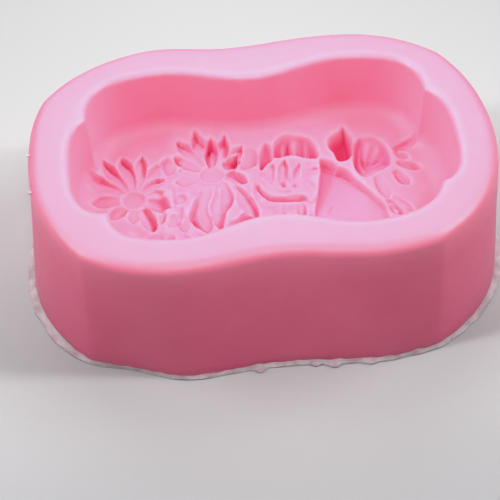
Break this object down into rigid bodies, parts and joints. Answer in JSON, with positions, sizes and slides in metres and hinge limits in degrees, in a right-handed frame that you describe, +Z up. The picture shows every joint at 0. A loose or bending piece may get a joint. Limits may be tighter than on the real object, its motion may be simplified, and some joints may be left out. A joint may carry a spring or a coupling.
{
  "type": "soap mould",
  "caption": "Waisted oval silicone mould with thick walls and a flower relief sunk into its floor, for casting a bar of soap, wax or resin.",
  "frame": {"origin": "under the middle of the base, on the surface the mould stands on", "axes": "+X along the mould, +Y across it towards the back wall, +Z up, out of the cavity"},
  "size_m": [0.1032, 0.071, 0.032],
  "materials": {
    "silicone": "matte translucent cast silicone, warm pink",
    "flash": "thin cloudy silicone film, pale"
  },
  "bodies": {
    "root": {"base_slab": "silicone", "wall_front": "silicone", "wall_back": "silicone", "wall_left": "silicone", "wall_right": "silicone", "relief_daisy_left": "silicone", "relief_daisy_centre": "silicone", "relief_carnation": "silicone", "relief_rose": "silicone", "relief_bud": "silicone", "relief_basin": "silicone", "relief_blossom": "silicone", "relief_sprig": "silicone", "base_flash": "flash"}
  },
  "joints": []
}
